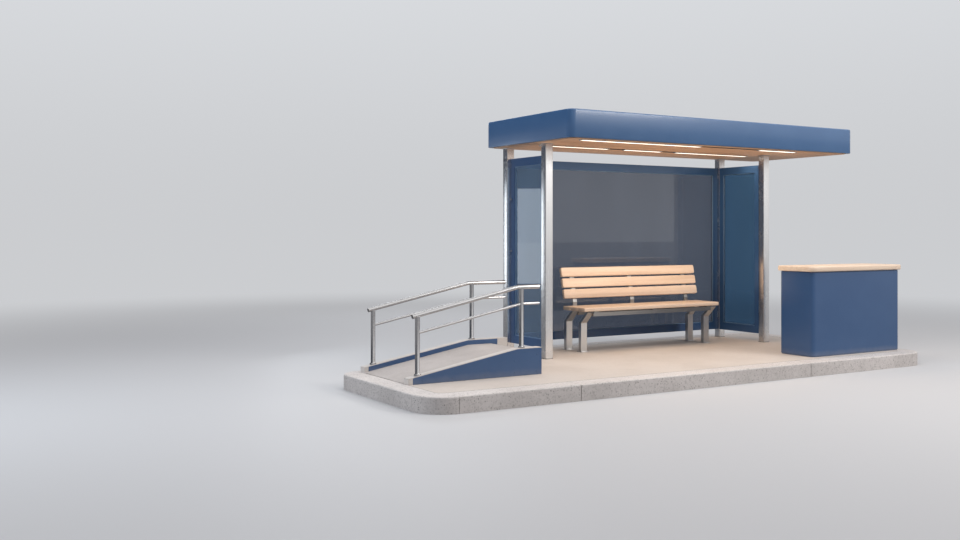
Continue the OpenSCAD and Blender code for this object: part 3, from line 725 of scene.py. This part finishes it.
def makeCladding():  # thin painted sheet over the plates, up to just below the pale cap
    deckLo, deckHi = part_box("ramp_deck")
    start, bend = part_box("ramp_plates_outer")[0].x, rampBendX()
    skins = Shape()
    for side, out in (("front", -1), ("back", 1)):
        lo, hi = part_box("ramp_kerb_" + side)
        slope = (hi.z - lowEndTop(side)) / (bend - lo.x)
        top = hi.z - ramp["capShown"]
        plate = [p for p in solidsOf("ramp_plates_outer", 1) if (p[0].y < 0) == (out < 0)][0]
        end = plate[1].x
        crown = [(end, top), (bend, top), (start, top - slope * (bend - start))]
        outer = [(start, lo.z + ramp["foot"]), (end, lo.z + ramp["foot"])] + crown
        rise = (deckHi.z - deckLo.z - ramp["deckLip"]) / (bend - deckLo.x)
        inner = [(start, deckHi.z - rise * (bend - start)), (bend, deckHi.z), (end, deckHi.z)] + crown
        faceOut, faceIn = (lo.y, hi.y) if out < 0 else (hi.y, lo.y)
        for outline, y, way in ((outer, faceOut, out), (inner, faceIn, -out)):
            far, near = max(y, y + way * ramp["skin"]), min(y, y + way * ramp["skin"])
            skins.loft([[Vector((x, far, z)) for x, z in outline], [Vector((x, near, z)) for x, z in outline]])
    skins.piece("ramp_cladding", finish["blue"], "blue_paint")


def makeRamp():
    wear(finish["ramp"], "ramp_deck")
    makeCladding()
    wear(finish["rampKerb"], "ramp_kerb_front", "ramp_kerb_back")
    wear(finish["blue"], "ramp_plates_outer", "ramp_plates_inner")
    spots = []
    for lo, hi in solidsOf("ramp_plates_outer", 1):
        side = -1 if lo.y < 0 else 1
        y = (lo.y if side < 0 else hi.y) + side * ramp["skin"]
        for k, x in enumerate(ramp["screwsAlong"]):
            spots.append(((lo.x + x, y, lo.z + ramp["lowScrew"]), (0, side, 0)))
            if k > 1:
                spots.append(((lo.x + x, y, lo.z + ramp["screwsUp"][k - 2]), (0, side, 0)))
    bolts("ramp_screws", spots, *ramp["screw"], finish["blue"], "blue_paint")


def makeHandrail(side):
    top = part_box(f"handrail_{side}_top")
    y, end = (top[0].y + top[1].y) / 2, top[1].x
    grade = (rail["levelZ"] - rail["lowZ"]) / (rail["bendX"] - rail["lowPostX"])
    start = rail["lowPostX"] - rail["tail"]

    def topLine(x):
        return rail["levelZ"] + min(0, x - rail["bendX"]) * grade

    path = [(start, y, topLine(start)), (rail["bendX"], y, rail["levelZ"]),
            (end - rail["endTrim"], y, rail["levelZ"])]
    grow(f"{side}_top_rail", tubeTree, path, [(0, 1), (1, 2)],
         dict(Radius=rail["topRadius"], Bend=rail["bend"], Sides=rail["topSides"]), finish["tube"],
         (f"handrail_{side}_top",))
    low = (rail["lowPostX"] + rail["midInset"], y, rail["lowZ"] - rail["drop"] + rail["midInset"] * grade)
    high = (rail["highPostX"], y, rail["levelZ"] - rail["drop"])
    grow(f"{side}_middle_rail", tubeTree, [low, high, (end - rail["endTrim"], y, high[2])], [(0, 1), (1, 2)],
         dict(Radius=rail["midRadius"], Bend=rail["midBend"], Sides=rail["midSides"]), finish["tube"],
         (f"handrail_{side}_middle",))

    posts = Shape()
    wide, tall = rail["collar"]
    pillar, edge = rail["postRadius"], rail["collarEdge"]
    for lo, hi in solidsOf(f"handrail_{side}_posts"):
        x = (lo.x + hi.x) / 2
        foot = lo.z + rail["foot"]
        crown = topLine(x) - rail["topRadius"] * rail["crown"]
        base = foot + (rail["collarLift"] * wide if x < rail["slopeEnd"] else 0)
        outline = [(wide, foot), (wide, base + tall - edge), (wide - edge, base + tall)]
        outline += [(pillar + out, base + tall + up) for out, up in rail["weld"]]
        outline += [(pillar, crown - rail["neck"]), (pillar, crown)]
        posts.turned((x, y, 0), outline, rail["postSides"])
    posts.piece(f"{side}_rail_posts", finish["tube"], "steel", (f"handrail_{side}_posts",))

    # flat end caps with a small rounded edge and a shadow groove
    caps = Shape()
    for x, z, radius, out in (
            (end, rail["levelZ"], rail["topRadius"], 1), (start, topLine(start), rail["topRadius"], -1),
            (end, rail["levelZ"] - rail["drop"], rail["midRadius"], 1)):
        tilt = math.atan(grade) if out < 0 else 0
        place = Matrix.Translation((x, y, z)) @ Matrix.Rotation(-tilt, 4, "Y")
        place = place @ Matrix.Rotation(math.pi / 2 * out, 4, "Y")
        first = len(caps.verts)
        caps.turned((0, 0, 0), [(radius * share, height) for share, height in rail["cap"]], rail["postSides"])
        caps.verts[first:] = [place @ v for v in caps.verts[first:]]
    caps.piece(f"{side}_rail_caps", finish["benchSteel"], "steel")


makeRamp()
makeHandrail("front")
makeHandrail("back")
print("ramp and handrails done")


post = dict(corner=0.007, seal=0.004, sealHeight=0.004, sealEdge=0.0015,
            collar=0.012, collarBelow=0.004, collarAbove=0.001, collarCorner=0.006, collarEdge=0.001)
panel = dict(bead=0.0055, beadBend=0.004, beadSides=12, stand=0.003,
             sight=0.012,                             # the glass runs this far into the frame
             lugHeights=(0.22, 0.50, 0.78), lug=(0.030, 0.050, 0.005), lugCorner=0.002, lugEdge=0.001,
             bolt=(0.0065, 0.005))


def makePosts():
    seals, collars = Shape(), Shape()
    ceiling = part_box("ceiling")[0].z
    for name in ("post_front_left", "post_front_right", "post_back_left", "post_back_right"):
        lo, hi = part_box(name)
        body = Shape()
        body.slab(lo, hi, post["corner"], 0.0, steps=5)
        body.piece(name + "_tube", finish["steel"], "steel", (name,))
        g = Vector((post["seal"], post["seal"], 0))
        seals.slab(lo - g, Vector((hi.x, hi.y, lo.z + post["sealHeight"])) + g, post["corner"] + post["seal"],
                   post["sealEdge"], foot=False)
        c = Vector((post["collar"], post["collar"], 0))
        collars.slab(Vector((lo.x, lo.y, ceiling - post["collarBelow"])) - c,
                     Vector((hi.x, hi.y, ceiling + post["collarAbove"])) + c,
                     post["corner"] + post["collarCorner"], post["collarEdge"])
    seals.piece("post_seals", finish["rubber"], "steel")
    collars.piece("post_collars", finish["beam"], "galvanised")


def makePanels():
    lugs, spots = Shape(), []
    for side in ("left", "right", "back"):
        wear(finish["blue"], side + "_frame")
        # each pane's tint carries its painted light: a reflection on the left, shade on the right and back
        wear(finish[side + "Glass"], side + "_glass")
        flo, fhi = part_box(side + "_frame")
        glo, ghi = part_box(side + "_glass")
        across = 1 if side == "back" else 0       # axis through the glass
        along = 1 - across
        sight, stand = panel["sight"], panel["stand"]
        spans = [(glo[k] + sight + stand, ghi[k] - sight - stand) for k in (along, 2)]
        for tag, face in (("a", glo[across] - stand), ("b", ghi[across] + stand)):
            points = []
            for u, v in ((0, 0), (1, 0), (1, 1), (0, 1)):
                point = [face] * 3
                point[along], point[2] = spans[0][u], spans[1][v]
                points.append(point)
            grow(f"{side}_bead_{tag}", tubeTree, points, [(0, 1), (1, 2), (2, 3), (3, 0)],
                 dict(Radius=panel["bead"], Bend=panel["beadBend"], Sides=panel["beadSides"]),
                 finish["bead"])
        # lugs that tie the frame to its posts, on the face away from the seat
        outer = -1 if side == "left" else 1
        for share in panel["lugHeights"]:
            z = flo.z + (fhi.z - flo.z) * share
            for end in (0, 1):
                at = fhi[along] if end else flo[along]
                width, height, thick = panel["lug"]
                lo, hi = Vector((0, 0, z - height / 2)), Vector((0, 0, z + height / 2))
                lo[along], hi[along] = at - width if end else at, at if end else at + width
                face = fhi[across] if outer > 0 else flo[across]
                lo[across], hi[across] = (face, face + thick) if outer > 0 else (face - thick, face)
                lugs.slab(lo, hi, panel["lugCorner"], panel["lugEdge"])
                spot, facing = (lo + hi) / 2, [0, 0, 0]
                spot[across], facing[across] = face + outer * thick, outer
                spots.append((tuple(spot), tuple(facing)))
    lugs.piece("frame_lugs", finish["blue"], "blue_paint")
    bolts("frame_bolts", spots, *panel["bolt"])


makePosts()
makePanels()
print("posts and panels done")


roof = dict(corner=0.080, edge=0.016, band=0.050, rim=0.072, tray=0.022, lip=0.004, nose=0.0012, flare=0.002,
            arc=8, cornerSteps=12, fieldGap=0.006, field=(0.003, 0.035, 0.001),      # height, corner and edge
            seams=9, seamHeight=0.013, seamWidth=0.009, seamShort=0.16, seamShift=0.04)
outlet = dict(fromEnd=0.45, fromRim=0.052, lift=0.002, sides=28,
              outline=((0.040, 0), (0.040, 0.004), (0.036, 0.007), (0.030, 0.007), (0.029, 0.005)),
              bars=6, pitch=0.008, bar=(0.003, 0.046, 0.003), firstBar=0.020, barLift=0.0095)
boards = dict(count=10, groove=0.0032, seed=7, grainSpan=9)
strip = dict(side=0.004, cap=0.008, hang=0.001, edges=(0.001, 0.0008), link=0.022, linkLift=0.002,
             linkEdges=(0.002, 0.001), power=7, width=0.05, drop=0.006, colour=(1.0, 0.78, 0.56))


def makeRoof():
    lo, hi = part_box("roof_shell")
    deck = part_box("roof_beams")[1].z
    band, lip, edge, rim, tray = (roof[key] for key in ("band", "lip", "edge", "rim", "tray"))
    rows = [(band, deck), (band, lo.z + lip), (band - lip, lo.z), (lip, lo.z), (roof["nose"], lo.z + roof["nose"]),
            (0.0, lo.z + lip)]
    rows += [(edge * (1 - math.cos(a)), hi.z - edge * (1 - math.sin(a))) for a in quarterTurn(roof["arc"])]
    rows += [(rim - lip, hi.z), (rim, hi.z - lip), (rim + roof["flare"], hi.z - tray)]
    shell = Shape()
    shell.layers(lo, hi, roof["corner"], rows, steps=roof["cornerSteps"])
    # lighter copy of the blue paint: painted light
    shell.piece("roof_band", finish["roofBluePaintedLight"], "blue_paint", ("roof_shell",))

    field = Shape()
    d = rim + roof["fieldGap"]
    sheet, corner, edge = roof["field"]
    field.slab(Vector((lo.x + d, lo.y + d, hi.z - tray)), Vector((hi.x - d, hi.y - d, hi.z - tray + sheet)),
               corner, edge, foot=False)
    field.piece("roof_membrane", finish["membrane"], "blue_paint")
    count, height = roof["seams"], roof["seamHeight"]
    step = (hi.x - lo.x - 2 * d) / (count + 1)
    first = (lo.x + d + step, (lo.y + hi.y) / 2 + roof["seamShift"], hi.z - tray + height / 2)
    size = (roof["seamWidth"], hi.y - lo.y - 2 * d - roof["seamShort"], height)
    grow("roof_seams", ribTree, [first], [], dict(Count=count, Step=(step, 0, 0), Size=size), finish["membrane"])

    outlets = Shape()
    y = lo.y + d + outlet["fromRim"]
    places = (lo.x + outlet["fromEnd"], hi.x - outlet["fromEnd"])
    for x in places:
        outlets.turned((x, y, hi.z - tray + outlet["lift"]), outlet["outline"], outlet["sides"])
    outlets.piece("roof_outlets", finish["beam"], "galvanised")
    for k, x in enumerate(places):
        grow(f"outlet_grate_{k + 1}", ribTree, [(x - outlet["firstBar"], y, hi.z - tray + outlet["barLift"])], [],
             dict(Count=outlet["bars"], Step=(outlet["pitch"], 0, 0), Size=outlet["bar"]),
             finish["bolt"])
    wear(finish["beam"], "roof_beams")


def makeCeiling():
    lo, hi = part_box("ceiling")
    source = mergedCopy("ceiling")
    bmesh.ops.dissolve_limit(source, angle_limit=0.01, verts=source.verts, edges=source.edges)
    whole, tags = bmesh.new(), []
    width = (hi.y - lo.y) / boards["count"]
    shift = random.Random(boards["seed"])
    for k in range(boards["count"]):
        part = source.copy()
        y0, y1 = lo.y + k * width, lo.y + (k + 1) * width
        for y, way in ((y0, -1), (y1, 1)):
            if lo.y + snug < y < hi.y - snug:
                bmesh.ops.bisect_plane(part, geom=part.verts[:] + part.edges[:] + part.faces[:], plane_co=(0, y, 0),
                                       plane_no=(0, way, 0), clear_outer=True)
                bmesh.ops.holes_fill(part, edges=[e for e in part.edges if e.is_boundary], sides=0)
        long = [e for e in part.edges if all(abs(v.co.z - lo.z) < hair for v in e.verts)
                and any(all(abs(v.co.y - y) < hair for v in e.verts) for y in (y0, y1))]
        bmesh.ops.bevel(part, geom=long, offset=boards["groove"], segments=1, affect="EDGES")
        bmesh.ops.recalc_face_normals(part, faces=part.faces)
        tag = shift.uniform(0, boards["grainSpan"])
        layer = bpy.data.meshes.new("boardPart")
        part.to_mesh(layer)
        part.free()
        tags += [tag] * len(layer.vertices)
        whole.from_mesh(layer)
        bpy.data.meshes.remove(layer)
    source.free()
    mesh = bpy.data.meshes.new("ceiling_boards")
    whole.to_mesh(mesh)
    whole.free()
    settle("ceiling_boards", mesh, finish["ceilingWood"], ("ceiling",), tags)


def makeLamps():
    housings, links = Shape(), Shape()
    side, cap, hang, link = (strip[key] for key in ("side", "cap", "hang", "link"))
    wear(finish["lamp"], "lights_front", "lights_back")
    for name in ("lights_front", "lights_back"):
        row = solidsOf(name)
        for lo, hi in row:
            for y in (lo.y - side, hi.y):
                housings.slab((lo.x - cap, y, lo.z - hang), (hi.x + cap, y + side, hi.z), *strip["edges"])
            for x in (lo.x - cap, hi.x):
                housings.slab((x, lo.y, lo.z - hang), (x + cap, hi.y, hi.z), *strip["edges"])
            lamp = bpy.data.lights.new(name + "Glow", "AREA")
            lamp.shape, lamp.size, lamp.size_y = "RECTANGLE", hi.x - lo.x, strip["width"]
            lamp.energy, lamp.color = strip["power"] * (hi.x - lo.x), strip["colour"]
            holder = bpy.data.objects.new(name + "Glow", lamp)
            holder.location = ((lo.x + hi.x) / 2, (lo.y + hi.y) / 2, lo.z - strip["drop"])
            holder.visible_camera = holder.visible_transmission = holder.visible_glossy = False
            scene.collection.objects.link(holder)
        for a, b in zip(row, row[1:]):
            mid = (a[0].y + a[1].y) / 2
            links.slab((a[1].x + cap, mid - link / 2, a[0].z + strip["linkLift"]),
                       (b[0].x - cap, mid + link / 2, a[1].z), *strip["linkEdges"])
    housings.piece("lamp_housings", finish["beam"], "steel")
    links.piece("lamp_links", finish["rubber"], "steel")


makeRoof()
makeCeiling()
makeLamps()
print("roof, ceiling and lamps done")


bench = dict(seatEdge=0.009, seatCorner=0.010, slatEdge=0.008, slatCorner=0.020, slat=(0.110, 0.040), lean=12,
             seatGrain=(1.3, 2.1), slatGrain=(4.4, 1.7),              # first board's shift, and the next ones' step
             bolt=(0.0075, 0.006), boltDepth=0.0125, slatBolt=0.026, seatBolt=0.035,
             plate=(0.012, 0.006), plateLong=0.012, plateCorner=0.005, plateEdge=0.0015,
             anchor=(0.0055, 0.004), anchorIn=0.018, anchorOut=0.012)


def makeBench():
    wear(finish["benchSteel"], "bench_legs")
    # the straps and beams under the seat take the darker steel: painted shade
    wear(finish["underSeatSteelPaintedShade"], "bench_straps", "bench_beams")
    seat = Shape()
    grain, step = bench["seatGrain"]
    for k, (lo, hi) in enumerate(solidsOf("bench_seat", 1)):
        seat.slab(lo, hi, bench["seatCorner"], bench["seatEdge"], tag=grain + step * k)
    seat.piece("seat_planks", finish["beech"], "timber", ("bench_seat",))

    back, spots = Shape(), []
    height, thick = bench["slat"]
    lean = math.radians(bench["lean"])
    grain, step = bench["slatGrain"]
    straps = solidsOf("bench_straps")
    for k, (lo, hi) in enumerate(solidsOf("bench_back", 2)):
        centre = (lo + hi) / 2
        # the slab's X runs along the bench, its Y up the slat and its Z to the front
        place = Matrix.Translation(centre) @ Matrix.Rotation(-lean, 4, "X") @ Matrix.Rotation(math.pi / 2, 4, "X")
        half = (hi.x - lo.x) / 2
        back.slab((-half, -height / 2, -thick / 2), (half, height / 2, thick / 2), bench["slatCorner"],
                  bench["slatEdge"], tag=grain + step * k, place=place, steps=6)
        normal = Matrix.Rotation(-lean, 3, "X") @ Vector((0, 1, 0))
        up = Matrix.Rotation(-lean, 3, "X") @ Vector((0, 0, 1))
        for strapLo, strapHi in straps:
            x = (strapLo.x + strapHi.x) / 2
            for side in (-1, 1):
                at = Vector((x, centre.y, centre.z)) + normal * (thick / 2 + bench["boltDepth"])
                at += up * side * bench["slatBolt"]
                spots.append((tuple(at), tuple(normal)))
    back.piece("back_slats", finish["beech"], "timber", ("bench_back",))
    for lo, hi in straps:
        x = (lo.x + hi.x) / 2
        for seatLo, seatHi in solidsOf("bench_seat", 1):
            for side in (-1, 1):
                spots.append(((x, (seatLo.y + seatHi.y) / 2 + side * bench["seatBolt"], lo.z), (0, 0, -1)))
    bolts("bench_bolts", spots, *bench["bolt"])

    plates, anchors = Shape(), []
    spare, tall = bench["plate"]
    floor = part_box("floor_slab")[1].z
    bm = mergedCopy("bench_legs")
    feet = sorted({(round(v.co.x, 4), round(v.co.y, 4)) for v in bm.verts if abs(v.co.z - floor) < snug})
    bm.free()
    xs = sorted({x for x, y in feet})
    ys = sorted({y for x, y in feet})
    for x0, x1 in zip(xs[::2], xs[1::2]):
        for y0, y1 in zip(ys[::2], ys[1::2]):
            plates.slab((x0 - spare, y0 - spare - bench["plateLong"], floor),
                        (x1 + spare, y1 + spare + bench["plateLong"], floor + tall),
                        bench["plateCorner"], bench["plateEdge"], foot=False)
            anchors += [((x0 + bench["anchorIn"], y0 - bench["anchorOut"], floor + tall), (0, 0, 1)),
                        ((x1 - bench["anchorIn"], y1 + bench["anchorOut"], floor + tall), (0, 0, 1))]
    plates.piece("leg_plates", finish["benchSteel"], "steel")
    bolts("leg_anchors", anchors, *bench["anchor"])


makeBench()
print("bench done")


counter = dict(bodyCorner=0.056, bodySteps=10, lap=0.002, toe=0.010, toeInset=0.006, gap=0.008, gapInset=0.006,
               topCorner=0.070, topEdge=0.014, topGrain=2.7, topSteps=10)
door = dict(fromCorner=0.01, fromBottom=0.075, fromTop=0.05, gap=0.004, thick=0.008, corner=0.008, edge=0.002,
            handle=dict(aside=0.045, half=0.008, depths=(0.008, 0.022), heights=(0.42, 0.58), edges=(0.005, 0.004)),
            hinge=dict(shares=(0.14, 0.86), out=0.006, half=0.03, sides=16,
                       outline=((0.006, 0), (0.0065, 0.001), (0.0065, 0.059), (0.006, 0.060))),
            louvre=dict(count=6, pitch=0.014, size=(0.22, 0.005, 0.006), out=0.002, fromTop=0.16))


def makeCounter():
    lo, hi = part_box("counter_body")
    lap, corner = counter["lap"], counter["bodyCorner"]
    toe, gap = lo.z + counter["toe"], hi.z - counter["gap"]
    rows = [(counter["toeInset"], lo.z), (counter["toeInset"], toe), (lap, toe), (0.0, toe + lap), (0.0, gap - lap),
            (lap, gap), (counter["gapInset"], gap), (counter["gapInset"], hi.z)]
    body = Shape()
    body.layers(lo, hi, corner, rows, steps=counter["bodySteps"])
    body.piece("counter_cabinet", finish["blue"], "blue_paint", ("counter_body",))

    top = Shape()
    top.slab(*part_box("counter_top"), counter["topCorner"], counter["topEdge"], tag=counter["topGrain"],
             steps=counter["topSteps"])
    top.piece("counter_worktop", finish["counterWood"], "timber", ("counter_top",))

    # two plain doors, their handles and hinges and a louvred vent, on the side that faces away from the road
    doors, handles, hinges = Shape(), Shape(), Shape()
    x0, x1 = lo.x + corner + door["fromCorner"], hi.x - corner - door["fromCorner"]
    mid, half = (x0 + x1) / 2, door["gap"] / 2
    z0, z1 = lo.z + door["fromBottom"], hi.z - door["fromTop"]
    upright = Matrix.Translation((0, hi.y, 0)) @ Matrix.Rotation(-math.pi / 2, 4, "X")      # slab Z turned to +Y
    for a, b in ((x0, mid - half), (mid + half, x1)):
        doors.slab((a, -z1, 0), (b, -z0, door["thick"]), door["corner"], door["edge"], steps=5, place=upright)
    handle, hinge, louvre = door["handle"], door["hinge"], door["louvre"]
    (near, far), (bottom, top) = handle["depths"], handle["heights"]
    for side, edge in ((-1, x0), (1, x1)):
        x = mid + side * handle["aside"]
        handles.slab((x - handle["half"], hi.y + near, z0 + bottom), (x + handle["half"], hi.y + far, z0 + top),
                     *handle["edges"])
        for share in hinge["shares"]:
            z = z0 + (z1 - z0) * share
            hinges.turned((edge, hi.y + hinge["out"], z - hinge["half"]), hinge["outline"], hinge["sides"])
    doors.piece("counter_doors", finish["blue"], "blue_paint")
    handles.piece("door_handles", finish["benchSteel"], "steel")
    hinges.piece("door_hinges", finish["benchSteel"], "steel")
    first = (mid - (x1 - x0) / 4, hi.y + door["thick"] + louvre["out"], z1 - louvre["fromTop"])
    grow("counter_louvres", ribTree, [first], [],
         dict(Count=louvre["count"], Step=(0, 0, louvre["pitch"]), Size=louvre["size"]), finish["blue"])


makeCounter()
print("counter done")
